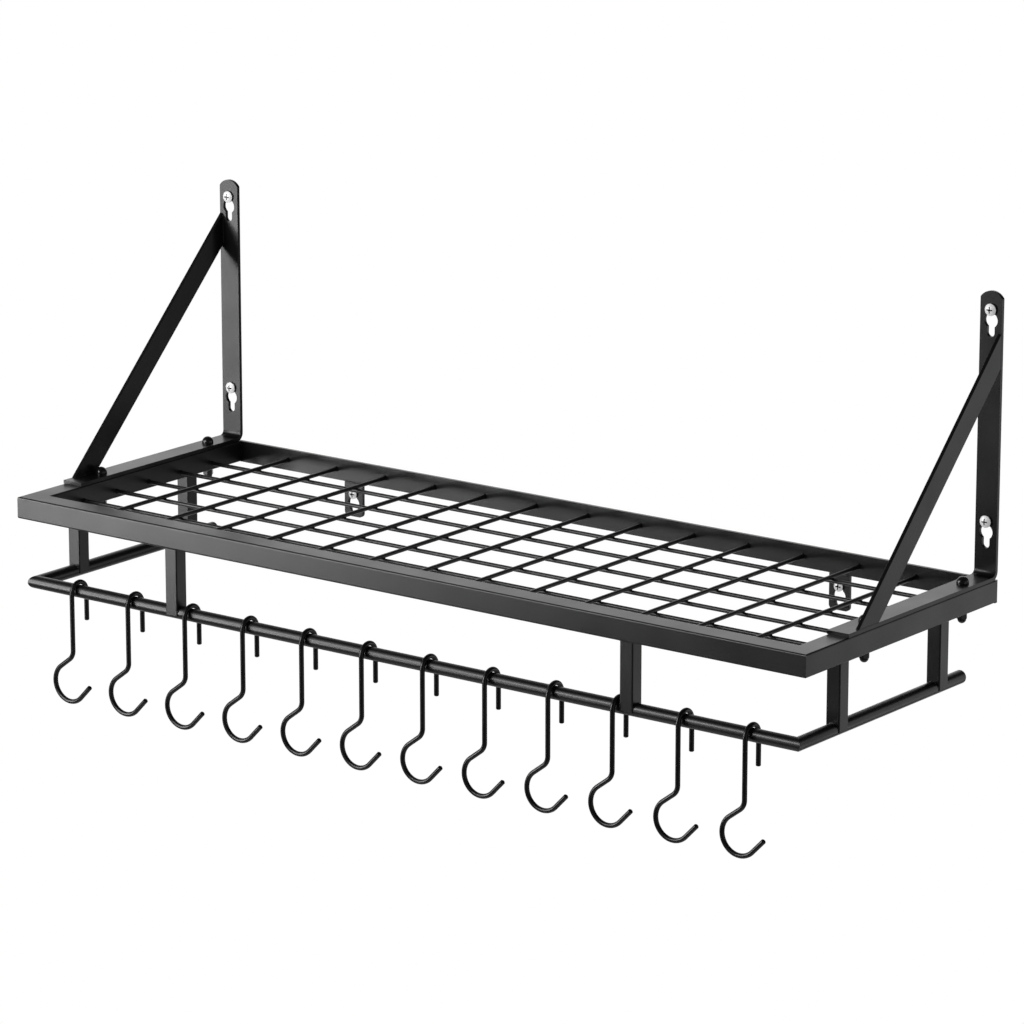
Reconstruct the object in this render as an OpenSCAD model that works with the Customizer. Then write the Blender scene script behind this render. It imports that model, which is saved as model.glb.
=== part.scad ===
// Wall mounted pot rack: a framed wire shelf on two braced wall brackets,
// with a hook rail below it and a row of hanging pot hooks.
// The origin is on the wall, at the middle of the back bar's rear face.
// +X runs along the wall, -Y points into the room and +Z points up.

/* [Shelf frame] */
// Length of the rack along the wall
rack_length = 800; // [700:1:1000]
// Depth from the wall to the face of the front rail
rack_depth = 271; // [240:1:320]
// Width of the rail tube, seen from above
rail_width = 20; // [18:0.5:24]
// Height of the rail tube and of the back bar
rail_height = 18.7; // [16:0.1:24]
// Wall of the rail tube
rail_wall = 1.5; // [1:0.1:2]
// Outer corner radius of the rail tube
rail_corner = 1.5; // [0.5:0.1:3]
// Thickness of the flat bar across the back
back_bar_thick = 3; // [2:0.1:4]

/* [Wire shelf] */
// Diameter of the shelf wires
wire_d = 3.5; // [2.5:0.1:4]
// Number of wires that run from front to back
cross_wire_count = 13; // [8:1:16]
// Number of wires that run along the rack
long_wire_count = 5; // [3:1:5]
// Drop from the top of the frame to the centre of the front to back wires
cross_wire_drop = 9.2; // [6:0.1:10]
// Distance from the wall to the first wire along the rack
first_long_wire = 42.3; // [20:0.1:50]
// Spacing of the wires along the rack
long_wire_pitch = 41.8; // [30:0.1:45]
// Gap between the two layers of wire where they cross
wire_gap = 0.05; // [0:0.01:0.3]

/* [Wall brackets] */
// Width of the flat bar of the brackets, braces and wall tabs
bar_width = 20; // [18:0.5:20]
// Thickness of the flat bar of the brackets and braces
bar_thick = 3.2; // [2.5:0.1:5]
// Distance from the end of a bracket's leg to the face of the front rail
leg_front_gap = 58; // [45:1:80]
// Length of the left bracket's leg in front of its brace
left_leg_toe = 10.4; // [6:0.1:16]
// Length of the right bracket's leg in front of its brace
right_leg_toe = 13.6; // [6:0.1:16]
// Height of the brackets above the top of the left brace
bracket_over_brace = 29.9; // [26:0.1:45]
// Inside radius of a bracket's bend
bend_radius = 4.3; // [3:0.1:8]
// Radius of a bracket's rounded top
bracket_top_radius = 12; // [10.5:0.5:20]

/* [Keyholes] */
// Diameter of the round part of a keyhole
keyhole_d = 12.2; // [11:0.1:13]
// Width of a keyhole's slots
keyhole_slot = 7; // [6:0.1:7.5]
// Length of a bracket's keyhole from the end of one slot to the end of the other
keyhole_length = 26.5; // [24:0.1:29]
// Distance from a bracket's top to the centre of its upper keyhole
upper_keyhole_drop = 23.5; // [20:0.5:40]
// Height of the lower keyhole's centre above the frame
lower_keyhole_rise = 38.2; // [30:0.1:60]

/* [Wall tabs] */
// Distance of a wall tab's middle from the end of the rack
tab_end_gap = 147.5; // [80:0.5:250]
// Distance from the centre of a tab's keyhole to the end of its lower slot
tab_slot_reach = 8.8; // [8:0.1:9.8]
// Distance from the centre of a tab's keyhole to the tab's foot
tab_foot_gap = 11.6; // [11:0.1:20]
// Corner radius at the foot of a wall tab
tab_corner = 4; // [2:0.5:8]
// Drop from the frame's underside to the centre of a tab's keyhole
tab_keyhole_drop = 18.8; // [17:0.1:21]

/* [Wall screws] */
// Diameter of a wall screw's head
screw_head_d = 9.9; // [8.8:0.1:10.4]
// Height of a wall screw's head
screw_head_rise = 3.2; // [2:0.1:4]
// Height of the straight edge of a wall screw's head
screw_head_edge = 1.5; // [1:0.1:1.8]
// Diameter of the head of a tab's screw
tab_screw_head_d = 8.4; // [8:0.1:10.4]
// Height of the head of a tab's screw
tab_screw_head_rise = 2.4; // [2:0.1:4]
// Diameter of a wall screw's shank
screw_d = 5; // [4:0.1:5.6]
// Rise of a wall screw above the centre of its keyhole
screw_lift = 8.6; // [7:0.1:9]
// Width of a slot in the screw's cross recess
recess_width = 1.1; // [0.8:0.1:1.4]
// Length of a slot in the screw's cross recess
recess_length = 5.2; // [4:0.1:6]
// Depth of the screw's cross recess
recess_depth = 1.6; // [1:0.1:1.9]

/* [Frame bolts] */
// Distance of a bolt from the outer side of the frame
bolt_inset = 10; // [8:0.5:12]
// Distance from the wall to the rear bolts
rear_bolt_reach = 36; // [28:1:50]
// Distance from the front bolts to the end of a bracket's leg
leg_end_gap = 37; // [30:1:60]
// Diameter of the bolts
bolt_d = 5; // [4:0.1:6]
// Extra diameter of the bolt holes
bolt_hole_play = 0.5; // [0.2:0.1:1]
// Diameter of a bolt's domed head
bolt_head_d = 10; // [9:0.1:12]
// Height of the straight edge of a bolt's domed head
bolt_head_edge = 0.8; // [0.5:0.1:2]
// Width of a cap nut across its flats
nut_flats = 8; // [8:0.1:10]
// Height of a cap nut's hexagon
nut_hex_rise = 6.3; // [4:0.1:7]
// Whole height of a cap nut
nut_rise = 10.5; // [10:0.1:14]
// Diameter of a cap nut's dome
nut_dome_d = 7.2; // [6.8:0.1:8]
// Reach of a bolt into its cap nut
nut_engagement = 6; // [4:0.1:6.5]
// Extra diameter of a cap nut's bore over the bolt
thread_play = 0.2; // [0.1:0.05:0.4]
// Depth of a cap nut's bore past the bolt's end
nut_bore_relief = 0.6; // [0.2:0.1:1]

/* [Posts] */
// Width of the square posts between the frame and the hook rail
post_size = 12.5; // [11.5:0.1:14]
// Wall of a post
post_wall = 1.2; // [1:0.1:1.8]
// Outer corner radius of a post
post_corner = 1; // [0.5:0.1:2]
// Hook that the right front post stands beside, counted from the right
post_hook = 3; // [2:1:5]
// Distance from that hook to the middle of the post
post_hook_gap = 10.7; // [9:0.1:20]
// Distance from the wall to the rear side posts
rear_post_reach = 66.9; // [60:0.1:80]
// Distance from the front bolts to the middle of the front side posts
bolt_post_gap = 32.8; // [20:0.1:40]
// Reach of a post's skirt below the axis of the hook rail
post_skirt = 1.5; // [0:0.1:3]

/* [Hook rail] */
// Diameter of the hook rail's tube
tube_d = 11; // [9:0.1:12]
// Wall of the hook rail's tube
tube_wall = 1.2; // [1:0.1:1.8]
// Drop from the frame's underside to the axis of the hook rail
tube_drop = 55.5; // [45:0.5:80]
// Distance of the hook rail's side axes from the frame's outer sides
tube_side_inset = 12.2; // [10:0.1:13]
// Distance of the hook rail's front axis from the front rail's face
tube_front_inset = 8.6; // [7:0.1:12]
// Distance from the wall to the ends of the hook rail
tube_wall_gap = 31.8; // [10:0.1:45]
// Length of the part of an end plug that shows
plug_cap = 2.5; // [1.5:0.1:4]
// Length of the part of an end plug that sits in the tube
plug_spigot = 8; // [4:0.5:15]
// Radius of an end plug's edge
plug_edge = 1.5; // [0.5:0.1:1.5]
// Extra room between an end plug and the tube's bore, all round
plug_play = 0.1; // [0.05:0.05:0.3]

/* [Pot hooks] */
// Number of hooks on the front of the rail
hook_count = 12; // [6:1:12]
// Distance from the rail's left corner to the first hook
left_hook_room = 47.8; // [20:0.1:60]
// Distance from the last hook to the rail's right corner
right_hook_room = 41.8; // [20:0.1:60]
// Diameter of the hook wire
hook_wire = 4.1; // [3:0.1:4.5]
// Centre line radius of the loop that goes over the rail
loop_radius = 9.05; // [8.6:0.05:12]
// Gap between a hanging hook's loop and the top of the rail
hook_clearance = 0.3; // [0.2:0.05:0.5]
// Length of the straight tail behind the rail
tail_length = 26; // [15:0.1:40]
// Length of the straight stem, from the middle of the loop
stem_length = 48.9; // [35:0.1:70]
// Centre line radius of the bend above the bowl
kick_radius = 10.2; // [8:0.1:14]
// Angle of the bend above the bowl
kick_angle = 53.1; // [45:0.1:60]
// Length of the straight run into the bowl
kick_run = 12.4; // [8:0.1:14]
// Centre line radius of the bowl that holds a pot
bowl_radius = 16.4; // [12:0.1:18]
// Angle that the bowl turns through
bowl_angle = 189.2; // [180:0.1:200]
// Length of the straight tip
tip_run = 15.5; // [8:0.1:18]
// Reach of a straight run into the bends beside it
run_lap = 0.3; // [0.2:0.05:0.5]
// Amount by which the straight runs are thinner than the bends, so that their faces never coincide
run_relief = 0.02; // [0.01:0.005:0.05]
// Chamfer at both ends of the wire
wire_chamfer = 0.6; // [0.2:0.1:1.5]

/* [Hidden] */
$fn = 72;

// One overrun serves all cuts.
overrun = 2;

frame_top = rail_height / 2;
frame_bottom = -rail_height / 2;
half_length = rack_length / 2;
inner_half_length = half_length - rail_width;
inner_front = rack_depth - rail_width;
bar_middle = half_length - bar_width / 2;
brace_cut = bar_width * sqrt(2);

// The braces stand at 45 degrees, so each reaches as far along the leg as up the wall.
bracket_reach = rack_depth - leg_front_gap;
left_brace_top = bracket_reach - left_leg_toe;
right_brace_top = bracket_reach - right_leg_toe;
bracket_rise = left_brace_top + bracket_over_brace;
front_bolt_reach = bracket_reach - leg_end_gap;
front_post_reach = front_bolt_reach + bolt_post_gap;

cross_wire_pitch = 2 * inner_half_length / (cross_wire_count + 1);
cross_wire_z = frame_top - cross_wire_drop;
long_wire_z = cross_wire_z - wire_d - wire_gap;

bolt_middle = half_length - bolt_inset;
bolt_hole_d = bolt_d + bolt_hole_play;
bolt_places = [
    for (side = [-1, 1], reach = [rear_bolt_reach, front_bolt_reach]) [side * bolt_middle, -reach]
];

tube_z = frame_bottom - tube_drop;
tube_front_y = -rack_depth + tube_front_inset;
tube_side_x = half_length - tube_side_inset;
tube_bore = tube_d - 2 * tube_wall;
tube_end_y = -tube_wall_gap - plug_cap;

hook_pitch = (2 * tube_side_x - left_hook_room - right_hook_room) / (hook_count - 1);
first_hook_x = left_hook_room - tube_side_x;
front_post_offset = first_hook_x + (hook_count - post_hook) * hook_pitch + post_hook_gap;

// The loop hangs on the top of the rail, with the clearance between them.
loop_z = tube_z + tube_d / 2 + hook_clearance - (loop_radius - hook_wire / 2);
stem_y = tube_front_y - loop_radius;

bracket_keyholes = [bracket_rise - upper_keyhole_drop, lower_keyhole_rise];
tab_keyhole_z = frame_bottom - tab_keyhole_drop;
tab_length = tab_keyhole_drop + tab_foot_gap;
tab_offset = half_length - tab_end_gap;

// Rounded rectangle, centred.
module rounded_rect(width, height, radius) {
    square([width - 2 * radius, height], center = true);
    square([width, height - 2 * radius], center = true);
    for (x = [-1, 1], y = [-1, 1])
        translate([x * (width / 2 - radius), y * (height / 2 - radius)]) circle(r = radius);
}

// Section of a rectangular tube with rounded outer corners.
module tube_section(width, height, wall, radius) {
    difference() {
        rounded_rect(width, height, radius);
        square([width - 2 * wall, height - 2 * wall], center = true);
    }
}

// Keyhole with a slot above its round part, and one below it that ends at the given reach from the centre.
module keyhole(lower_reach) {
    slot_top = (keyhole_length - keyhole_slot) / 2;
    slot_foot = keyhole_slot / 2 - lower_reach;
    circle(d = keyhole_d);
    translate([-keyhole_slot / 2, slot_foot]) square([keyhole_slot, slot_top - slot_foot]);
    for (end = [slot_foot, slot_top])
        translate([0, end]) circle(d = keyhole_slot);
}

// Rail tube along X, centred on the origin's height.
module rail_along_x(length) {
    rotate([90, 0, 90])
        linear_extrude(length, center = true) tube_section(rail_width, rail_height, rail_wall, rail_corner);
}

// Clear holes for the frame bolts.
module bolt_holes() {
    for (place = bolt_places)
        translate([place[0], place[1], frame_bottom - overrun])
            cylinder(h = rail_height + bar_thick + 2 * overrun, d = bolt_hole_d);
}

module front_rail() {
    color("#242424")
    intersection() {
        translate([0, -rack_depth + rail_width / 2, 0]) rail_along_x(rack_length);
        linear_extrude(rail_height + 2 * overrun, center = true)
            polygon([
                [-half_length - overrun, -rack_depth - overrun],
                [half_length + overrun, -rack_depth - overrun],
                [inner_half_length - overrun, -inner_front + overrun],
                [-inner_half_length + overrun, -inner_front + overrun]
            ]);
    }
}

// Left side rail, mitred at the front and butted on the back bar.
module side_rail() {
    rail_run = rack_depth - back_bar_thick;
    difference() {
        intersection() {
            translate([-half_length + rail_width / 2, -back_bar_thick - rail_run / 2, 0])
                rotate([0, 0, 90]) rail_along_x(rail_run);
            linear_extrude(rail_height + 2 * overrun, center = true)
                polygon([
                    [-half_length - overrun, -rack_depth - overrun],
                    [-inner_half_length + overrun, -inner_front + overrun],
                    [-inner_half_length + overrun, overrun],
                    [-half_length - overrun, overrun]
                ]);
        }
        bolt_holes();
    }
}

module left_side_rail() {
    color("#242424") side_rail();
}

module right_side_rail() {
    color("#242424") mirror([1, 0, 0]) side_rail();
}

module back_bar() {
    color("#242424")
    translate([-half_length, -back_bar_thick, frame_bottom])
        cube([rack_length, back_bar_thick, rail_height]);
}

// Shelf wire number i from front to back, counted from the left.
module cross_wire(i) {
    color("#1c1c1c")
    translate([-inner_half_length + i * cross_wire_pitch, -back_bar_thick, cross_wire_z])
        rotate([90, 0, 0]) cylinder(h = inner_front - back_bar_thick, d = wire_d);
}

// Shelf wire number i along the rack, counted from the wall.
module long_wire(i) {
    color("#1c1c1c")
    translate([-inner_half_length, -first_long_wire - (i - 1) * long_wire_pitch, long_wire_z])
        rotate([0, 90, 0]) cylinder(h = 2 * inner_half_length, d = wire_d);
}

// Side view of a bracket, with the wall on the Y axis and the frame's top on the X axis.
module bracket_profile() {
    outer_radius = bend_radius + bar_thick;
    translate([0, outer_radius]) square([bar_thick, bracket_rise - outer_radius]);
    translate([outer_radius, 0]) square([bracket_reach - outer_radius, bar_thick]);
    translate([outer_radius, outer_radius])
        intersection() {
            difference() {
                circle(r = outer_radius);
                circle(r = bend_radius);
            }
            translate([-outer_radius, -outer_radius]) square(outer_radius);
        }
}

// Left bracket: one flat bar bent into an upright and a leg.
module bracket() {
    difference() {
        intersection() {
            translate([-bar_middle, 0, frame_top])
                rotate([90, 0, -90]) linear_extrude(bar_width, center = true) bracket_profile();
            translate([-bar_middle, overrun, 0])
                rotate([90, 0, 0]) linear_extrude(bracket_reach + 2 * overrun) bracket_outline();
        }
        translate([-bar_middle, overrun, frame_top])
            rotate([90, 0, 0])
                linear_extrude(bar_thick + 2 * overrun)
                    for (rise = bracket_keyholes) translate([0, rise]) keyhole(keyhole_length / 2);
        bolt_holes();
    }
}

// Front view of a bracket, with its rounded top.
module bracket_outline() {
    top_centre = frame_top + bracket_rise - bracket_top_radius;
    translate([0, top_centre]) circle(r = bracket_top_radius);
    translate([-bracket_top_radius, frame_top - overrun])
        square([2 * bracket_top_radius, top_centre - frame_top + overrun]);
}

module left_bracket() {
    color("#2a2a2a") bracket();
}

module right_bracket() {
    color("#2a2a2a") mirror([1, 0, 0]) bracket();
}

// Left brace: a flat bar on edge at 45 degrees, from the upright's face to the leg's top.
module brace(top) {
    translate([-half_length, 0, frame_top])
        rotate([90, 0, 90])
            linear_extrude(bar_thick)
                polygon([
                    [-bar_thick, top],
                    [-bar_thick, top - brace_cut],
                    [-top + brace_cut, bar_thick],
                    [-top, bar_thick]
                ]);
}

module left_brace() {
    color("#2a2a2a") brace(left_brace_top);
}

module right_brace() {
    color("#2a2a2a") mirror([1, 0, 0]) brace(right_brace_top);
}

// Left wall tab: a short flat bar below the back bar, with a keyhole.
module wall_tab() {
    translate([-tab_offset, 0, 0])
        rotate([90, 0, 0])
            linear_extrude(back_bar_thick)
                difference() {
                    translate([0, frame_bottom - tab_length]) tab_outline();
                    translate([0, tab_keyhole_z]) keyhole(tab_slot_reach);
                }
}

// Outline of a tab from its foot up, with the two corners at the foot rounded.
module tab_outline() {
    translate([-bar_width / 2, tab_corner]) square([bar_width, tab_length - tab_corner]);
    translate([-bar_width / 2 + tab_corner, 0]) square([bar_width - 2 * tab_corner, tab_corner]);
    for (side = [-1, 1])
        translate([side * (bar_width / 2 - tab_corner), tab_corner]) circle(r = tab_corner);
}

module left_wall_tab() {
    color("#242424") wall_tab();
}

module right_wall_tab() {
    color("#242424") mirror([1, 0, 0]) wall_tab();
}

// Wall screw with a head of the given size in front of a bar of the given thickness, and its shank down to the wall.
module wall_screw(bar, head_d, head_rise) {
    dome_rise = head_rise - screw_head_edge;
    dome_radius = (pow(head_d / 2, 2) + pow(dome_rise, 2)) / (2 * dome_rise);
    rotate([90, 0, 0]) {
        cylinder(h = bar, d = screw_d);
        translate([0, 0, bar])
            difference() {
                intersection() {
                    cylinder(h = head_rise, d = head_d);
                    translate([0, 0, head_rise - dome_radius]) sphere(r = dome_radius);
                }
                translate([0, 0, head_rise - recess_depth / 2 + overrun / 2])
                    for (turn = [0, 90])
                        rotate([0, 0, turn])
                            cube([recess_width, recess_length, recess_depth + overrun], center = true);
            }
    }
}

module wall_screws() {
    color("#c9c9c9") {
        for (side = [-1, 1], rise = bracket_keyholes)
            translate([side * bar_middle, 0, frame_top + rise + screw_lift])
                wall_screw(bar_thick, screw_head_d, screw_head_rise);
        for (side = [-1, 1])
            translate([side * tab_offset, 0, tab_keyhole_z + screw_lift])
                wall_screw(back_bar_thick, tab_screw_head_d, tab_screw_head_rise);
    }
}

// Bolt with a domed head on the bracket's leg, down through the side rail.
module frame_bolt() {
    grip = bar_thick + rail_height;
    translate([0, 0, frame_top + bar_thick]) {
        translate([0, 0, bolt_head_edge])
            intersection() {
                sphere(d = bolt_head_d);
                cylinder(h = bolt_head_d, d = bolt_head_d + overrun);
            }
        cylinder(h = bolt_head_edge, d = bolt_head_d);
        translate([0, 0, -grip - nut_engagement]) cylinder(h = grip + nut_engagement, d = bolt_d);
    }
}

module frame_bolts() {
    color("#141414")
    for (place = bolt_places)
        translate([place[0], place[1], 0]) frame_bolt();
}

// Cap nut under the side rail, with a blind bore for the bolt's end.
module cap_nut() {
    translate([0, 0, frame_bottom])
        mirror([0, 0, 1])
            difference() {
                union() {
                    cylinder(h = nut_hex_rise, d = nut_flats / cos(30), $fn = 6);
                    cylinder(h = nut_rise - nut_dome_d / 2, d = nut_dome_d);
                    translate([0, 0, nut_rise - nut_dome_d / 2]) sphere(d = nut_dome_d);
                }
                translate([0, 0, -overrun])
                    cylinder(h = nut_engagement + nut_bore_relief + overrun, d = bolt_d + thread_play);
            }
}

module cap_nuts() {
    color("#141414")
    for (place = bolt_places)
        translate([place[0], place[1], 0]) cap_nut();
}

// Square post from the frame's underside, coped over a hook rail that runs along X.
module post() {
    post_length = tube_drop + post_skirt;
    difference() {
        translate([0, 0, frame_bottom - post_length])
            linear_extrude(post_length) tube_section(post_size, post_size, post_wall, post_corner);
        translate([-post_size, 0, tube_z]) rotate([0, 90, 0]) cylinder(h = 2 * post_size, d = tube_d);
    }
}

module front_post(side) {
    color("#2a2a2a")
    translate([side * front_post_offset, tube_front_y, 0]) post();
}

module side_post(side, reach) {
    color("#2a2a2a")
    translate([side * tube_side_x, -reach, 0]) rotate([0, 0, 90]) post();
}

// Length of round tube along Z.
module tube(length) {
    difference() {
        cylinder(h = length, d = tube_d);
        translate([0, 0, -overrun]) cylinder(h = length + 2 * overrun, d = tube_bore);
    }
}

// Hook rail along the front, mitred to the side tubes at both ends.
module front_tube() {
    reach = tube_d;
    color("#2a2a2a")
    intersection() {
        translate([-tube_side_x - reach, tube_front_y, tube_z]) rotate([0, 90, 0]) tube(2 * (tube_side_x + reach));
        translate([0, 0, tube_z])
            linear_extrude(2 * tube_d, center = true)
                polygon([
                    [-tube_side_x - reach, tube_front_y - reach],
                    [tube_side_x + reach, tube_front_y - reach],
                    [tube_side_x - reach, tube_front_y + reach],
                    [-tube_side_x + reach, tube_front_y + reach]
                ]);
    }
}

// Left side of the hook rail, from the mitre back to the end plug.
module side_tube() {
    reach = tube_d;
    intersection() {
        translate([-tube_side_x, tube_end_y, tube_z]) rotate([90, 0, 0]) tube(tube_end_y - tube_front_y + reach);
        translate([0, 0, tube_z])
            linear_extrude(2 * tube_d, center = true)
                polygon([
                    [-tube_side_x - reach, tube_front_y - reach],
                    [-tube_side_x + reach, tube_front_y + reach],
                    [-tube_side_x + reach, overrun],
                    [-tube_side_x - reach, overrun]
                ]);
    }
}

module left_side_tube() {
    color("#2a2a2a") side_tube();
}

module right_side_tube() {
    color("#2a2a2a") mirror([1, 0, 0]) side_tube();
}

// Left end plug: a rounded cap on the tube's end, with a spigot in its bore.
module tube_plug() {
    translate([-tube_side_x, tube_end_y, tube_z])
        rotate([-90, 0, 0]) {
            rotate_extrude()
                intersection() {
                    union() {
                        square([tube_d / 2, plug_cap - plug_edge]);
                        square([tube_d / 2 - plug_edge, plug_cap]);
                        translate([tube_d / 2 - plug_edge, plug_cap - plug_edge]) circle(r = plug_edge);
                    }
                    square([tube_d, plug_cap]);
                }
            translate([0, 0, -plug_spigot]) cylinder(h = plug_spigot, d = tube_bore - 2 * plug_play);
        }
}

module left_tube_plug() {
    color("#202020") tube_plug();
}

module right_tube_plug() {
    color("#202020") mirror([1, 0, 0]) tube_plug();
}

// Straight run of hook wire along +Z between two bends, with what follows it at its end.
module run(length) {
    translate([0, 0, -run_lap]) cylinder(h = length + 2 * run_lap, d = hook_wire - run_relief);
    translate([0, 0, length]) children();
}

// Last straight run of hook wire along +Z, with its free end chamfered.
module end_run(length) {
    radius = (hook_wire - run_relief) / 2;
    rotate_extrude()
        polygon([
            [0, -run_lap],
            [radius, -run_lap],
            [radius, length - wire_chamfer],
            [radius - wire_chamfer, length],
            [0, length]
        ]);
}

// Bend of hook wire from +Z towards +X, with what follows it at its end.
module bend(radius, angle) {
    translate([radius, 0, 0])
        rotate([90, 0, 0])
            rotate([0, 0, 180 - angle])
                rotate_extrude(angle = angle) translate([radius, 0]) circle(d = hook_wire);
    translate([radius * (1 - cos(angle)), 0, radius * sin(angle)]) rotate([0, angle, 0]) children();
}

// Pot hook number i from the left. Its loop lies across the rail and its bowl lies along it.
module hook(i) {
    color("#141414")
    translate([first_hook_x + (i - 1) * hook_pitch, stem_y, loop_z]) {
        rotate([0, 0, 90]) bend(loop_radius, 180) end_run(tail_length);
        rotate([180, 0, 180])
            run(stem_length)
                bend(kick_radius, kick_angle)
                    run(kick_run)
                        rotate([0, 0, 180]) bend(bowl_radius, bowl_angle) end_run(tip_run);
    }
}

front_rail();
left_side_rail();
right_side_rail();
back_bar();
for (i = [1 : cross_wire_count])
    cross_wire(i);
for (i = [1 : long_wire_count])
    long_wire(i);
left_bracket();
right_bracket();
left_brace();
right_brace();
left_wall_tab();
right_wall_tab();
wall_screws();
frame_bolts();
cap_nuts();
front_post(-1);  // left_front_post
front_post(1);  // right_front_post
side_post(-1, front_post_reach);  // left_side_front_post
side_post(-1, rear_post_reach);  // left_side_rear_post
side_post(1, front_post_reach);  // right_side_front_post
side_post(1, rear_post_reach);  // right_side_rear_post
front_tube();
left_side_tube();
right_side_tube();
left_tube_plug();
right_tube_plug();
for (i = [1 : hook_count])
    hook(i);
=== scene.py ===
"""Looks of the wall mounted pot rack: its finishes, weld beads, studio and camera.

Every CAD node keeps its shape and place. The classes below dress the nodes, add the weld beads that hold
the rack together, and set up the studio and the camera. Lengths are in metres, in the rack's own frame:
the wall is the plane y = 0, +X runs along it, -Y points into the room and +Z points up.
"""

import logging
import math
import random
from collections.abc import Iterable, Sequence
from dataclasses import dataclass, field
from enum import Enum

import bmesh
import bpy
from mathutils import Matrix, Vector


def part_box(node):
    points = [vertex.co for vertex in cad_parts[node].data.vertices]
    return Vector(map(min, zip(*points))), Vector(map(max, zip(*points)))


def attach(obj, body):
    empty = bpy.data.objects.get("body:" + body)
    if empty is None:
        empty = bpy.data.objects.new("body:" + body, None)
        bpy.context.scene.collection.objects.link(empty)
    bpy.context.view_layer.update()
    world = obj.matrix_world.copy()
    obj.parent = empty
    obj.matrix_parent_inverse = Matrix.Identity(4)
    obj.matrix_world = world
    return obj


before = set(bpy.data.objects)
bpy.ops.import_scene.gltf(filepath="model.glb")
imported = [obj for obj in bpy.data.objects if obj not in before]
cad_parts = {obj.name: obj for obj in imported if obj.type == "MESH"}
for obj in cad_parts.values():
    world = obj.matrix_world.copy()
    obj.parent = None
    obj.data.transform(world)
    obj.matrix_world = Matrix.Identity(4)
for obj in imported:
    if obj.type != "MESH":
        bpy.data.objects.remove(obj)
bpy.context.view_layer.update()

log = logging.getLogger("pot_rack")

MM = 0.001
RACK = "rack"
WHITE = (1.0, 1.0, 1.0, 1.0)

# The standard curve between screen levels and linear light.
CURVE_TOE = 0.04045
TOE_SLOPE = 12.92
CURVE_OFFSET = 0.055
CURVE_POWER = 2.4

# How a sheared edge is eased: stray points are joined and flat faces merged before the rounding.
JOIN_GAP = 0.002 * MM
FLAT_ANGLE = math.radians(0.5)
CORNER_ANGLE = math.radians(50)
EASE_WIDTH = 0.35 * MM
EASE_SEGMENTS = 3

Colour = tuple[float, float, float]
Span = tuple[float, float]
Ring = list[bmesh.types.BMVert]


class Side(Enum):
    """The two ends of the rack, with the sign of their x."""

    LEFT = -1
    RIGHT = 1

    @property
    def word(self) -> str:
        """Returns the word that this end's node names start with."""
        return self.name.lower()


class Edge(Enum):
    """How a node's edges are finished."""

    AS_CUT = "as_cut"
    EASED = "eased"


def level(value: float) -> float:
    """Turns a display level into the linear value that a shader takes.

    Args:
        value: The level on the screen, from 0 to 1.

    Returns:
        The linear value.
    """
    if value <= CURVE_TOE:
        return value / TOE_SLOPE
    return ((value + CURVE_OFFSET) / (1 + CURVE_OFFSET)) ** CURVE_POWER


def grey(value: float) -> Colour:
    """Returns a neutral linear colour for a display level from 0 to 1."""
    return (level(value),) * 3


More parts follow.
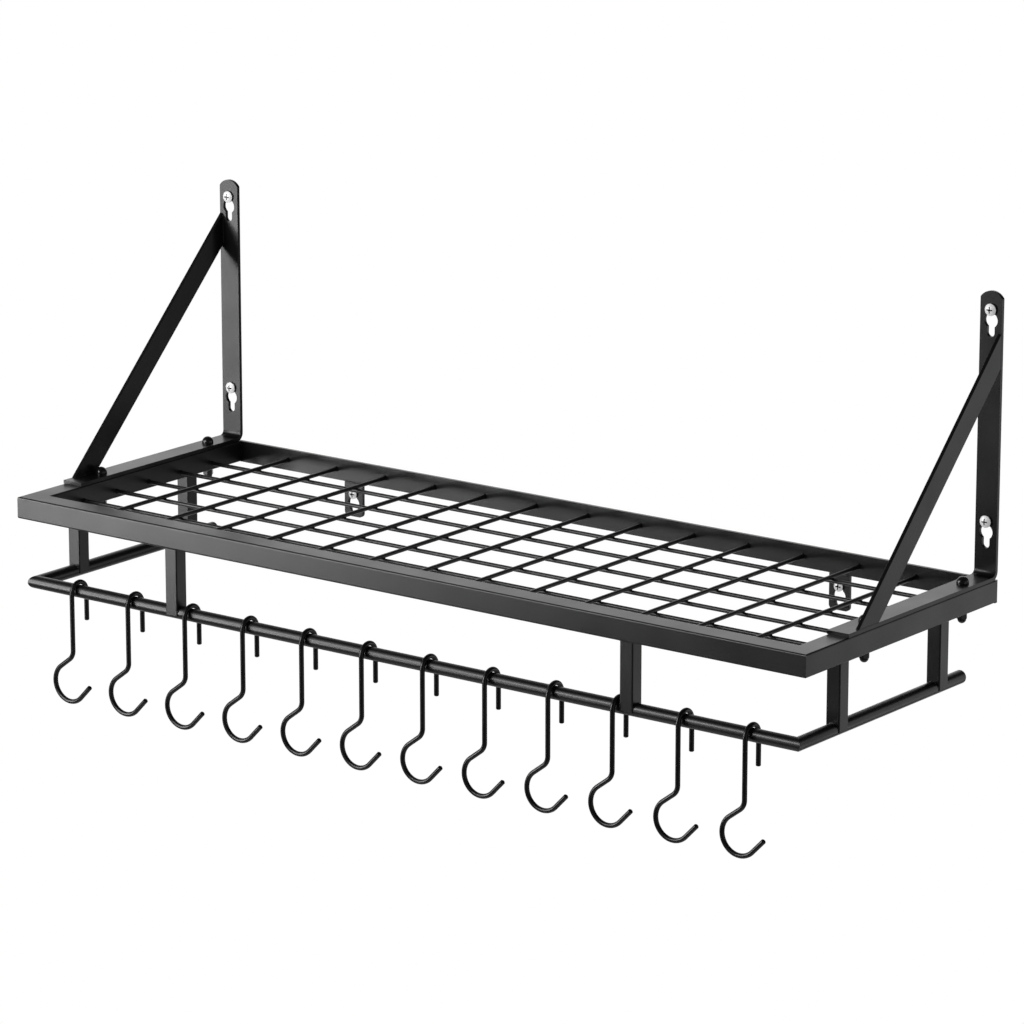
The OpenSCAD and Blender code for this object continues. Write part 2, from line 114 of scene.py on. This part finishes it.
class NodeSheet:
    """A material's node tree, with short ways to add and join nodes."""

    noise_span: Span = (0.3, 0.7)

    def __init__(self, name: str) -> None:
        """Makes an empty material.

        Args:
            name: The material's name.
        """
        self.material = bpy.data.materials.new(name)
        self.material.use_nodes = True
        self.tree = self.material.node_tree
        self.tree.nodes.clear()
        self.output = self.tree.nodes.new("ShaderNodeOutputMaterial")

    def add(self, kind: str, **inputs: object) -> bpy.types.Node:
        """Adds a node.

        Args:
            kind: The node's type, without its ShaderNode prefix.
            **inputs: Values or sockets for its inputs, by input name with spaces as underscores.

        Returns:
            The new node.
        """
        node = self.tree.nodes.new("ShaderNode" + kind)
        for name, value in inputs.items():
            socket = node.inputs[name.replace("_", " ")]
            if isinstance(value, bpy.types.NodeSocket):
                self.tree.links.new(value, socket)
            else:
                socket.default_value = value
        return node

    def place(self) -> bpy.types.NodeSocket:
        """Returns the object's own coordinates, in metres."""
        return self.add("TexCoord").outputs["Object"]

    def noise(
        self,
        grain: float,
        detail: float = 2.0,
        stretch: Sequence[float] = (1.0, 1.0, 1.0),
    ) -> bpy.types.NodeSocket:
        """Adds soft noise fixed to the object.

        Args:
            grain: The size of one grain in metres.
            detail: How many finer layers it has.
            stretch: How much finer the grain is along each axis.

        Returns:
            The noise, from 0 to 1.
        """
        mapping = self.add("Mapping", Vector=self.place(), Scale=tuple(stretch))
        node = self.add("TexNoise", Vector=mapping.outputs[0], Scale=1.0 / grain, Detail=detail)
        return node.outputs["Fac"]

    def ramp(self, factor: bpy.types.NodeSocket, low: float, high: float) -> bpy.types.NodeSocket:
        """Spreads a factor's middle range, where noise mostly lies, between two values.

        Args:
            factor: The factor to spread.
            low: The value where the factor is low.
            high: The value where the factor is high.

        Returns:
            The spread value.
        """
        start, end = self.noise_span
        node = self.add("MapRange", Value=factor, From_Min=start, From_Max=end, To_Min=low, To_Max=high)
        return node.outputs[0]

    def reckon(self, operation: str, first: bpy.types.NodeSocket, second: float) -> bpy.types.NodeSocket:
        """Reckons with a socket and a number.

        Args:
            operation: The operation, by Blender's name for it.
            first: The socket.
            second: The number.

        Returns:
            The result.
        """
        node = self.add("Math")
        node.operation = operation
        self.tree.links.new(first, node.inputs[0])
        node.inputs[1].default_value = second
        return node.outputs[0]

    def tint(
        self,
        factor: bpy.types.NodeSocket,
        low: Colour | bpy.types.NodeSocket,
        high: Colour | bpy.types.NodeSocket,
    ) -> bpy.types.NodeSocket:
        """Blends two colours.

        Args:
            factor: The factor to blend by.
            low: The colour where the factor is low, as values or a socket.
            high: The colour where the factor is high, as values or a socket.

        Returns:
            The blended colour.
        """
        node = self.tree.nodes.new("ShaderNodeMix")
        node.data_type = "RGBA"
        self.tree.links.new(self.ramp(factor, 0.0, 1.0), node.inputs["Factor"])
        colours = [socket for socket in node.inputs if socket.type == "RGBA"]
        for socket, colour in zip(colours, (low, high)):
            if isinstance(colour, bpy.types.NodeSocket):
                self.tree.links.new(colour, socket)
            else:
                socket.default_value = (*colour, 1.0)
        return next(socket for socket in node.outputs if socket.type == "RGBA")

    def bump(
        self,
        height: bpy.types.NodeSocket,
        depth: float,
        under: bpy.types.NodeSocket | None = None,
    ) -> bpy.types.NodeSocket:
        """Adds a bump.

        Args:
            height: The height map, from 0 to 1.
            depth: The height of the bump in metres.
            under: Another bump's normal, which this one lies on.

        Returns:
            The bumped normal.
        """
        node = self.add("Bump", Height=height, Strength=1.0, Distance=depth)
        if under is not None:
            self.tree.links.new(under, node.inputs["Normal"])
        return node.outputs[0]

    def finish(self, shader: bpy.types.Node) -> bpy.types.Material:
        """Joins the surface shader to the output and returns the finished material."""
        self.tree.links.new(shader.outputs[0], self.output.inputs["Surface"])
        return self.material


@dataclass(frozen=True)
class PowderCoat:
    """Baked black powder coat: a fine pebbled skin over soft orange peel.

    The shade and its spread are screen levels. The pebbles, the peel and the clouds of duller gloss are
    given by the size of one grain, and the first two by their depth as well.
    """

    name: str
    shade: float = 0.05
    spread: float = 0.015
    roughness: float = 0.34
    uneven: float = 0.03
    gloss: float = 0.5
    pebble: float = 0.55 * MM
    pebble_depth: float = 0.008 * MM
    peel: float = 2.6 * MM
    peel_depth: float = 0.02 * MM
    cloud: float = 45 * MM

    def material(self) -> bpy.types.Material:
        """Makes the coat's material.

        Returns:
            The new material.
        """
        sheet = NodeSheet(self.name)
        pebble = sheet.noise(self.pebble, detail=3.0)
        peel = sheet.noise(self.peel, detail=1.0)
        cloud = sheet.noise(self.cloud)
        shader = sheet.add(
            "BsdfPrincipled",
            Base_Color=sheet.tint(pebble, grey(self.shade - self.spread), grey(self.shade + self.spread)),
            Metallic=0.0,
            Roughness=sheet.ramp(cloud, self.roughness - self.uneven, self.roughness + self.uneven),
            Specular_IOR_Level=self.gloss,
            Normal=sheet.bump(pebble, self.pebble_depth, sheet.bump(peel, self.peel_depth)),
        )
        return sheet.finish(shader)


@dataclass(frozen=True)
class GlossEnamel:
    """Smooth black enamel of the bolts, nuts and hooks.

    The shade and its spread are screen levels. In smears of a given size the enamel is smoother by the
    polish, or duller by the wear.
    """

    name: str
    shade: float = 0.06
    spread: float = 0.015
    roughness: float = 0.22
    polish: float = 0.03
    wear: float = 0.05
    gloss: float = 0.5
    smear: float = 12 * MM

    def material(self) -> bpy.types.Material:
        """Makes the enamel's material.

        Returns:
            The new material.
        """
        sheet = NodeSheet(self.name)
        smear = sheet.noise(self.smear, detail=3.0)
        shader = sheet.add(
            "BsdfPrincipled",
            Base_Color=sheet.tint(smear, grey(self.shade - self.spread), grey(self.shade + self.spread)),
            Metallic=0.0,
            Roughness=sheet.ramp(smear, self.roughness - self.polish, self.roughness + self.wear),
            Specular_IOR_Level=self.gloss,
        )
        return sheet.finish(shader)


@dataclass(frozen=True)
class ZincPlate:
    """Bright zinc plate of the wall screws: fine drawn lines, a dull film and painted shade in the cross
    recess.

    The shade, the film and the painted shade of the recess are screen levels. The painted shade darkens the
    colour and takes away the gloss where there is a wall nearer than the recess, and the contrast says how
    sharply it ends.
    """

    name: str
    shade: float = 0.95
    film: float = 0.86
    grime: float = 0.05
    recess: float = 2.0 * MM
    contrast: float = 4.0
    metal: float = 0.2
    gloss: float = 0.5
    roughness: float = 0.4
    polish: float = 0.05
    wear: float = 0.08
    line: float = 0.25 * MM
    line_stretch: tuple[float, float, float] = (0.15, 1.0, 1.0)
    line_depth: float = 0.004 * MM
    bloom: float = 1.6 * MM

    def material(self) -> bpy.types.Material:
        """Makes the plate's material.

        Returns:
            The new material.
        """
        sheet = NodeSheet(self.name)
        line = sheet.noise(self.line, stretch=self.line_stretch)
        bloom = sheet.noise(self.bloom, detail=3.0)
        # Painted shade: ambient occlusion finds the cross recess, which is then darkened and loses its
        # gloss.
        exposure = sheet.add("AmbientOcclusion", Distance=self.recess).outputs["AO"]
        open_face = sheet.reckon("POWER", exposure, self.contrast)
        plate = sheet.tint(bloom, grey(self.film), grey(self.shade))
        # The recess gets the painted shade as its colour and no specular gloss.
        shader = sheet.add(
            "BsdfPrincipled",
            Base_Color=sheet.tint(open_face, grey(self.grime), plate),
            Metallic=self.metal,
            Roughness=sheet.ramp(bloom, self.roughness + self.wear, self.roughness - self.polish),
            Specular_IOR_Level=sheet.ramp(open_face, 0.0, self.gloss),
            Normal=sheet.bump(line, self.line_depth),
        )
        return sheet.finish(shader)


@dataclass(frozen=True)
class StudioPaint:
    """Plain pale paint of the studio floor, which glows a little to the camera alone, to look near white."""

    name: str
    shade: float = 0.8
    roughness: float = 0.9
    glow: float = 0.4

    def material(self) -> bpy.types.Material:
        """Makes the floor's material.

        Returns:
            The new material.
        """
        sheet = NodeSheet(self.name)
        seen = sheet.add("LightPath").outputs["Is Camera Ray"]
        shader = sheet.add(
            "BsdfPrincipled",
            Base_Color=(*grey(self.shade), 1.0),
            Roughness=self.roughness,
            Emission_Color=WHITE,
            Emission_Strength=sheet.reckon("MULTIPLY", seen, self.glow),
        )
        return sheet.finish(shader)


class WeldShop:
    """Lays weld beads as one mesh, each a little uneven, from a fixed seed.

    The unevenness and the ripple are shares of a bead's radius, and the pitch is a ripple's length.
    """

    uneven: float = 0.06
    ripple: float = 0.12
    pitch: float = 1.1 * MM
    end_taper: float = 0.45
    bead_sides: int = 10
    collar_sides: int = 16
    collar_steps: int = 6
    pool_detail: int = 2

    def __init__(self, name: str, seed: int) -> None:
        """Starts an empty mesh of welds.

        Args:
            name: The piece's name.
            seed: The seed of its unevenness.
        """
        self.name = name
        self.chance = random.Random(seed)
        self.mesh = bmesh.new()

    def ring(self, centre: Vector, across: Vector, up: Vector, radius: float, sides: int) -> Ring:
        """Adds a ring of points.

        Args:
            centre: The middle of the ring.
            across: The direction of its first point.
            up: The direction a quarter turn on.
            radius: Its radius.
            sides: How many points it has.

        Returns:
            The ring's points.
        """
        made = []
        for i in range(sides):
            turn = math.tau * i / sides
            reach = radius * (1 + self.chance.uniform(-self.uneven, self.uneven))
            place = centre + (across * math.cos(turn) + up * math.sin(turn)) * reach
            made.append(self.mesh.verts.new(place))
        return made

    def skin(self, rings: Sequence[Ring]) -> None:
        """Joins rings of points into a closed skin.

        Args:
            rings: The rings in order, all with the same number of points.
        """
        for low, high in zip(rings, rings[1:]):
            for i, point in enumerate(low):
                after = (i + 1) % len(low)
                self.mesh.faces.new((point, low[after], high[after], high[i]))
        self.mesh.faces.new(list(reversed(rings[0])))
        self.mesh.faces.new(rings[-1])

    def collar(self, foot: Vector, axis: Vector, wire_radius: float, throat: float, run: float) -> None:
        """Lays a fillet round a wire where it meets a face.

        Args:
            foot: The middle of the wire at the face.
            axis: The direction from the face along the wire.
            wire_radius: The wire's radius.
            throat: How far the fillet spreads on the face.
            run: How far it runs along the wire.
        """
        across = axis.orthogonal().normalized()
        up = axis.cross(across)
        rings = []
        for step in range(self.collar_steps + 1):
            turn = math.pi / 2 * step / self.collar_steps
            reach = wire_radius + throat * (1 - math.sin(turn))
            along = run * (1 - math.cos(turn))
            rings.append(self.ring(foot + axis * along, across, up, reach, self.collar_sides))
        self.skin(rings)

    def blob(self, centre: Vector, radii: Vector) -> None:
        """Lays a small pool of weld where two wires cross.

        Args:
            centre: Its middle.
            radii: Its half sizes along X, Y and Z.
        """
        made = bmesh.ops.create_icosphere(self.mesh, subdivisions=self.pool_detail, radius=1.0)["verts"]
        for point in made:
            swell = 1 + self.chance.uniform(-self.uneven, self.uneven)
            point.co = centre + Vector(a * b * swell for a, b in zip(point.co, radii))

    def bead(self, path: Sequence[Vector], radius: float) -> None:
        """Lays a rippled bead along a path.

        Args:
            path: The corners of the path.
            radius: The bead's radius.
        """
        points = self.steps_along(path, self.pitch / 2)
        rings = []
        last = len(points) - 1
        for i, point in enumerate(points):
            ahead = points[min(i + 1, last)]
            behind = points[max(i - 1, 0)]
            axis = (ahead - behind).normalized()
            across = axis.orthogonal().normalized()
            taper = self.end_taper if i in (0, last) else 1.0
            swell = taper * (1 + self.ripple * (1 if i % 2 else -1))
            rings.append(self.ring(point, across, axis.cross(across), radius * swell, self.bead_sides))
        self.skin(rings)

    @staticmethod
    def steps_along(path: Sequence[Vector], step: float) -> list[Vector]:
        """Spreads points evenly along a path.

        Args:
            path: The corners of the path.
            step: The distance between points.

        Returns:
            The points, with both ends.
        """
        points = [path[0]]
        for start, end in zip(path, path[1:]):
            count = max(1, round((end - start).length / step))
            points += [start.lerp(end, (i + 1) / count) for i in range(count)]
        return points

    def piece(self, finish: bpy.types.Material, body: str = RACK) -> bpy.types.Object:
        """Turns the welds into a piece of the rack.

        Args:
            finish: Its material.
            body: The body it moves with.

        Returns:
            The new piece.
        """
        data = bpy.data.meshes.new(self.name)
        bmesh.ops.recalc_face_normals(self.mesh, faces=self.mesh.faces)
        self.mesh.to_mesh(data)
        self.mesh.free()
        data.shade_smooth()
        data.materials.append(finish)
        made = bpy.data.objects.new(self.name, data)
        bpy.context.scene.collection.objects.link(made)
        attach(made, body)
        log.info("%s: %d faces", self.name, len(data.polygons))
        return made


def dress(names: Iterable[str], finish: bpy.types.Material, edge: Edge = Edge.AS_CUT) -> None:
    """Gives CAD nodes their finish.

    Args:
        names: The nodes.
        finish: Their material.
        edge: How their edges are finished.
    """
    for name in names:
        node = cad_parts[name]
        node.data.materials.clear()
        node.data.materials.append(finish)
        if edge is Edge.EASED:
            ease_edges(node)
        log.info("%s: %s", name, finish.name)


def ease_edges(node: bpy.types.Object) -> None:
    """Rounds a flat bar's sheared edges with modifiers, which leave its own mesh alone.

    Args:
        node: The CAD node.
    """
    weld = node.modifiers.new("join", "WELD")
    weld.merge_threshold = JOIN_GAP
    flat = node.modifiers.new("flatten", "DECIMATE")
    flat.decimate_type = "DISSOLVE"
    flat.angle_limit = FLAT_ANGLE
    bevel = node.modifiers.new("ease", "BEVEL")
    bevel.width = EASE_WIDTH
    bevel.segments = EASE_SEGMENTS
    bevel.limit_method = "ANGLE"
    bevel.angle_limit = CORNER_ANGLE
    bevel.harden_normals = True


@dataclass
class ShelfFrame:
    """The rectangular tube frame and the flat bar across its back."""

    finish: bpy.types.Material
    nodes: tuple[str, ...] = ("front_rail", "left_side_rail", "right_side_rail", "back_bar")

    def build(self) -> None:
        """Dresses the frame."""
        dress(self.nodes, self.finish)


@dataclass
class WireShelf:
    """The two layers of shelf wire and the welds at their ends and crossings.

    A fillet at a wire's end spreads by the throat and runs along the wire. A pool is given by its half
    sizes along X, Y and Z.
    """

    finish: bpy.types.Material
    cross_count: int = 13
    long_count: int = 5
    throat: float = 0.7 * MM
    run: float = 5.0 * MM
    pool: Vector = field(default_factory=lambda: Vector((1.75, 1.75, 1.0)) * MM)
    seed: int = 11

    def build(self) -> None:
        """Dresses the wires and lays their welds."""
        cross = [f"cross_wire_{i + 1}" for i in range(self.cross_count)]
        along = [f"long_wire_{i + 1}" for i in range(self.long_count)]
        dress(cross + along, self.finish)
        shop = WeldShop("shelf_welds", self.seed)
        for name in cross:
            self.end_welds(shop, name, Vector((0, 1, 0)))
        for name in along:
            self.end_welds(shop, name, Vector((1, 0, 0)))
        self.crossing_welds(shop, cross, along)
        shop.piece(self.finish)

    def end_welds(self, shop: WeldShop, name: str, axis: Vector) -> None:
        """Lays a fillet at both ends of a wire.

        Args:
            shop: Where the welds go.
            name: The wire's node.
            axis: The wire's direction.
        """
        low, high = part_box(name)
        middle = (low + high) / 2
        half = (high - low).dot(axis) / 2
        radius = (high.z - low.z) / 2
        for sign in (-1, 1):
            shop.collar(middle + axis * half * sign, -axis * sign, radius, self.throat, self.run)

    def crossing_welds(self, shop: WeldShop, cross: Sequence[str], along: Sequence[str]) -> None:
        """Lays a small pool between the wires at each crossing.

        Args:
            shop: Where the welds go.
            cross: The nodes of the wires from front to back.
            along: The nodes of the wires along the rack.
        """
        for upper in cross:
            upper_low, upper_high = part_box(upper)
            for lower in along:
                lower_low, lower_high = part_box(lower)
                centre = Vector((
                    (upper_low.x + upper_high.x) / 2,
                    (lower_low.y + lower_high.y) / 2,
                    (upper_low.z + lower_high.z) / 2,
                ))
                shop.blob(centre, self.pool)


@dataclass
class WallBrackets:
    """Both L brackets and their 45 degree braces, with the beads that join them."""

    finish: bpy.types.Material
    bar_width: float = 20 * MM
    bead_radius: float = 0.8 * MM
    bead_inset: float = 1.5 * MM
    seed: int = 23

    def build(self) -> None:
        """Dresses the brackets and braces and lays their beads."""
        shop = WeldShop("brace_welds", self.seed)
        for side in Side:
            dress([f"{side.word}_bracket", f"{side.word}_brace"], self.finish, Edge.EASED)
            self.brace_welds(shop, side)
        shop.piece(self.finish)

    def brace_welds(self, shop: WeldShop, side: Side) -> None:
        """Lays a bead along the inner side of both ends of a brace.

        Args:
            shop: Where the beads go.
            side: The end of the rack.
        """
        low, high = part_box(f"{side.word}_brace")
        inner = low.x if side is Side.RIGHT else high.x
        cut = self.bar_width * math.sqrt(2)
        inset = Vector((0, 0, self.bead_inset))
        ends = [Vector((inner, high.y, high.z)) - inset, Vector((inner, high.y, high.z - cut)) + inset]
        shop.bead(ends, self.bead_radius)
        inset = Vector((0, self.bead_inset, 0))
        ends = [Vector((inner, low.y, low.z)) + inset, Vector((inner, low.y + cut, low.z)) - inset]
        shop.bead(ends, self.bead_radius)


@dataclass
class WallTabs:
    """Both keyholed tabs below the back bar, with a bead at the top of each."""

    finish: bpy.types.Material
    bead_radius: float = 0.7 * MM
    bead_inset: float = 1.0 * MM
    seed: int = 31

    def build(self) -> None:
        """Dresses the tabs and lays their beads."""
        shop = WeldShop("tab_welds", self.seed)
        for side in Side:
            name = f"{side.word}_wall_tab"
            dress([name], self.finish, Edge.EASED)
            low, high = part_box(name)
            ends = [Vector((x, low.y, high.z)) for x in (low.x + self.bead_inset, high.x - self.bead_inset)]
            shop.bead(ends, self.bead_radius)
        shop.piece(self.finish)


@dataclass
class Posts:
    """The six square posts, with a bead round the top and over the foot of each.

    The beads on a foot start and sweep round the rail by the given angles, in degrees.
    """

    finish: bpy.types.Material
    tube_radius: float = 5.5 * MM
    bead_radius: float = 0.55 * MM
    foot_start: float = 12.0
    foot_sweep: float = 156.0
    foot_steps: int = 12
    seed: int = 47

    def build(self) -> None:
        """Dresses the posts and lays their beads."""
        ends = ["left_front_post", "right_front_post"]
        sides = [f"{side.word}_side_{place}_post" for side in Side for place in ("front", "rear")]
        dress(ends + sides, self.finish)
        shop = WeldShop("post_welds", self.seed)
        tube_z = sum(corner.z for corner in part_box("front_tube")) / 2
        for name in ends + sides:
            low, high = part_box(name)
            self.top_weld(shop, low, high)
            self.foot_welds(shop, low, high, tube_z, along_x=name in ends)
        shop.piece(self.finish)

    def top_weld(self, shop: WeldShop, low: Vector, high: Vector) -> None:
        """Lays a bead round a post's top.

        Args:
            shop: Where the bead goes.
            low: The post's lowest corner.
            high: The post's highest corner.
        """
        corners = [(low.x, low.y), (high.x, low.y), (high.x, high.y), (low.x, high.y)]
        for start, end in zip(corners, corners[1:] + corners[:1]):
            shop.bead([Vector((*start, high.z)), Vector((*end, high.z))], self.bead_radius)

    def foot_welds(self, shop: WeldShop, low: Vector, high: Vector, tube_z: float, along_x: bool) -> None:
        """Lays a bead over the rail on the two open sides of a post's foot.

        Args:
            shop: Where the beads go.
            low: The post's lowest corner.
            high: The post's highest corner.
            tube_z: The height of the rail's axis.
            along_x: Whether the rail runs along X there.
        """
        middle = (low + high) / 2
        reach = (high.x - low.x) / 2
        steps = self.foot_steps
        turns = [math.radians(self.foot_start + self.foot_sweep * i / steps) for i in range(steps + 1)]
        for sign in (-1, 1):
            arc = []
            for turn in turns:
                across, rise = self.tube_radius * math.cos(turn), self.tube_radius * math.sin(turn)
                offset = (sign * reach, across) if along_x else (across, sign * reach)
                arc.append(Vector((middle.x + offset[0], middle.y + offset[1], tube_z + rise)))
            shop.bead(arc, self.bead_radius)


@dataclass
class HookRail:
    """The round rail in three lengths, with its end plugs."""

    finish: bpy.types.Material
    nodes: tuple[str, ...] = (
        "front_tube",
        "left_side_tube",
        "right_side_tube",
        "left_tube_plug",
        "right_tube_plug",
    )

    def build(self) -> None:
        """Dresses the rail."""
        dress(self.nodes, self.finish)


@dataclass
class Fasteners:
    """The wall screws, the frame bolts and their cap nuts."""

    plate: bpy.types.Material
    enamel: bpy.types.Material

    def build(self) -> None:
        """Dresses the fasteners."""
        dress(["wall_screws"], self.plate)
        dress(["frame_bolts", "cap_nuts"], self.enamel)


@dataclass
class PotHooks:
    """The row of hooks on the rail."""

    finish: bpy.types.Material
    count: int = 12

    def build(self) -> None:
        """Dresses the hooks."""
        dress([f"hook_{i + 1}" for i in range(self.count)], self.finish)


@dataclass
class SoftBox:
    """A rectangular studio lamp that faces the rack."""

    name: str
    place: tuple[float, float, float]
    size: tuple[float, float]
    power: float
    aim: tuple[float, float, float] = (0.0, -0.13, 0.0)

    def build(self) -> None:
        """Makes the lamp."""
        data = bpy.data.lights.new(self.name, "AREA")
        data.shape = "RECTANGLE"
        data.size, data.size_y = self.size
        data.energy = self.power
        lamp = bpy.data.objects.new(self.name, data)
        lamp.location = self.place
        lamp.visible_camera = False
        lamp.rotation_euler = (Vector(self.aim) - Vector(self.place)).to_track_quat("-Z", "Y").to_euler()
        bpy.context.scene.collection.objects.link(lamp)
        log.info("%s: %.1f W", self.name, self.power)


@dataclass
class Studio:
    """A pale floor well below the rack, a surround that is white to the camera, and soft lamps.

    Reflections see a dark room, with a bright backdrop behind the rack towards the left, and a dimmer
    flank on the right. Each span is the part of a direction along one axis over which a level fades.
    """

    floor_drop: float = 1.6
    floor_size: float = 3.6
    ambient: float = 0.5
    room: float = 0.06
    backdrop: float = 1.3
    backdrop_span: Span = (-0.5, 0.1)
    behind_span: Span = (0.0, 0.7)
    flank: float = 0.5
    flank_span: Span = (0.8, 1.0)
    overhead: float = 0.45
    overhead_span: Span = (0.2, 0.6)
    lamps: tuple[SoftBox, ...] = (
        SoftBox("low_lamp", (-1.24, -1.4, -0.15), (0.62, 0.4), 10.2),
        SoftBox("left_band_lamp", (-1.42, -1.3, 0.42), (0.75, 0.5), 10.2),
        SoftBox("right_band_lamp", (-0.8, -1.78, 0.7), (0.75, 0.5), 13.0),
        SoftBox("high_lamp", (-1.0, -1.2, 1.0), (0.8, 0.5), 1.5),
        SoftBox("side_lamp", (0.9, 0.85, -0.2), (0.5, 1.1), 1.7),
    )

    def build(self) -> None:
        """Makes the floor, the surround and the lamps."""
        self.lay_floor()
        self.paint_surround()
        for lamp in self.lamps:
            lamp.build()
        bpy.context.scene.view_settings.view_transform = "Standard"

    def lay_floor(self) -> None:
        """Makes the floor."""
        half = self.floor_size / 2
        data = bpy.data.meshes.new("studio_floor")
        signs = ((-1, -1), (1, -1), (1, 1), (-1, 1))
        corners = [(x * half, y * half, -self.floor_drop) for x, y in signs]
        data.from_pydata(corners, [], [(0, 1, 2, 3)])
        data.materials.append(StudioPaint("studio_paint").material())
        floor = bpy.data.objects.new("studio_floor", data)
        bpy.context.scene.collection.objects.link(floor)

    def paint_surround(self) -> None:
        """Makes the surround: white to the camera, plain to the rack's paint and uneven to its gloss."""
        world = bpy.data.worlds.new("studio_surround")
        world.use_nodes = True
        bpy.context.scene.world = world
        tree = world.node_tree
        tree.nodes.clear()
        heading = tree.nodes.new("ShaderNodeSeparateXYZ")
        tree.links.new(tree.nodes.new("ShaderNodeTexCoord").outputs["Generated"], heading.inputs[0])
        behind = self.fade(tree, heading.outputs["X"], self.backdrop_span, (self.backdrop, self.room))
        walls = self.fade(tree, heading.outputs["Y"], self.behind_span, (self.room, behind))
        walls = self.fade(tree, heading.outputs["X"], self.flank_span, (walls, self.flank))
        overhead = self.fade(tree, heading.outputs["Z"], self.overhead_span, (1.0, self.overhead))
        strength = tree.nodes.new("ShaderNodeMath")
        strength.operation = "MULTIPLY"
        tree.links.new(walls, strength.inputs[0])
        tree.links.new(overhead, strength.inputs[1])
        rays = tree.nodes.new("ShaderNodeLightPath")
        glossy = self.background(tree, strength.outputs[0])
        plain = self.background(tree, self.ambient)
        white = self.background(tree, 1.0)
        unseen = self.choose(tree, rays.outputs["Is Diffuse Ray"], glossy, plain)
        seen = self.choose(tree, rays.outputs["Is Camera Ray"], unseen, white)
        output = tree.nodes.new("ShaderNodeOutputWorld")
        tree.links.new(seen, output.inputs["Surface"])

    @staticmethod
    def background(tree: bpy.types.NodeTree, strength: float | bpy.types.NodeSocket) -> bpy.types.NodeSocket:
        """Adds a white background.

        Args:
            tree: The node tree.
            strength: Its strength, as a number or a socket.

        Returns:
            The background's shader.
        """
        node = tree.nodes.new("ShaderNodeBackground")
        node.inputs["Color"].default_value = WHITE
        if isinstance(strength, bpy.types.NodeSocket):
            tree.links.new(strength, node.inputs["Strength"])
        else:
            node.inputs["Strength"].default_value = strength
        return node.outputs[0]

    @staticmethod
    def choose(
        tree: bpy.types.NodeTree,
        test: bpy.types.NodeSocket,
        otherwise: bpy.types.NodeSocket,
        chosen: bpy.types.NodeSocket,
    ) -> bpy.types.NodeSocket:
        """Chooses between two shaders.

        Args:
            tree: The node tree.
            test: The ray test, 0 or 1.
            otherwise: The shader for 0.
            chosen: The shader for 1.

        Returns:
            The chosen shader.
        """
        node = tree.nodes.new("ShaderNodeMixShader")
        for socket, value in zip(node.inputs, (test, otherwise, chosen)):
            tree.links.new(value, socket)
        return node.outputs[0]

    @staticmethod
    def fade(
        tree: bpy.types.NodeTree,
        value: bpy.types.NodeSocket,
        span: Span,
        levels: tuple[float | bpy.types.NodeSocket, float | bpy.types.NodeSocket],
    ) -> bpy.types.NodeSocket:
        """Fades smoothly between two levels.

        Args:
            tree: The node tree.
            value: The value that drives the fade.
            span: The values where the fade starts and ends.
            levels: The levels at the start and the end, as numbers or sockets.

        Returns:
            The faded level.
        """
        node = tree.nodes.new("ShaderNodeMapRange")
        node.interpolation_type = "SMOOTHSTEP"
        tree.links.new(value, node.inputs["Value"])
        node.inputs["From Min"].default_value, node.inputs["From Max"].default_value = span
        for name, amount in zip(("To Min", "To Max"), levels):
            if isinstance(amount, bpy.types.NodeSocket):
                tree.links.new(amount, node.inputs[name])
            else:
                node.inputs[name].default_value = amount
        return node.outputs[0]


@dataclass
class StudioCamera:
    """The camera at the photograph's place, with its long lens."""

    place: Vector = field(default_factory=lambda: Vector((2.40426, -3.27866, 1.04420)))
    azimuth: float = 37.175
    elevation: float = 14.369
    focal_pixels: float = 5006.47
    image_pixels: float = 1024.0
    sensor: float = 36.0
    clip: Span = (0.1, 50.0)

    def build(self) -> None:
        """Makes the camera and sets it as the scene's."""
        data = bpy.data.cameras.new("studio_camera")
        data.sensor_width = self.sensor
        data.lens = self.focal_pixels * self.sensor / self.image_pixels
        data.clip_start, data.clip_end = self.clip
        camera = bpy.data.objects.new("studio_camera", data)
        turn, tilt = math.radians(self.azimuth), math.radians(self.elevation)
        back = Vector((math.sin(turn) * math.cos(tilt), -math.cos(turn) * math.cos(tilt), math.sin(tilt)))
        camera.location = self.place
        camera.rotation_euler = (-back).to_track_quat("-Z", "Y").to_euler()
        bpy.context.scene.collection.objects.link(camera)
        bpy.context.scene.camera = camera


def main() -> None:
    """Builds the studio and dresses the rack, piece by piece."""
    logging.basicConfig(level=logging.INFO, format="%(name)s %(message)s")
    StudioCamera().build()
    Studio().build()
    frame_coat = PowderCoat("frame_coat").material()
    wire_coat = PowderCoat("wire_coat", shade=0.055).material()
    bracket_coat = PowderCoat("bracket_coat", roughness=0.3, gloss=0.33).material()
    rail_coat = PowderCoat("rail_coat").material()
    ShelfFrame(frame_coat).build()
    WireShelf(wire_coat).build()
    WallBrackets(bracket_coat).build()
    WallTabs(frame_coat).build()
    Posts(rail_coat).build()
    HookRail(rail_coat).build()
    Fasteners(ZincPlate("screw_plate").material(), GlossEnamel("bolt_enamel").material()).build()
    PotHooks(GlossEnamel("hook_enamel", shade=0.045, roughness=0.28, gloss=0.38).material()).build()


if __name__ == "__main__":
    main()
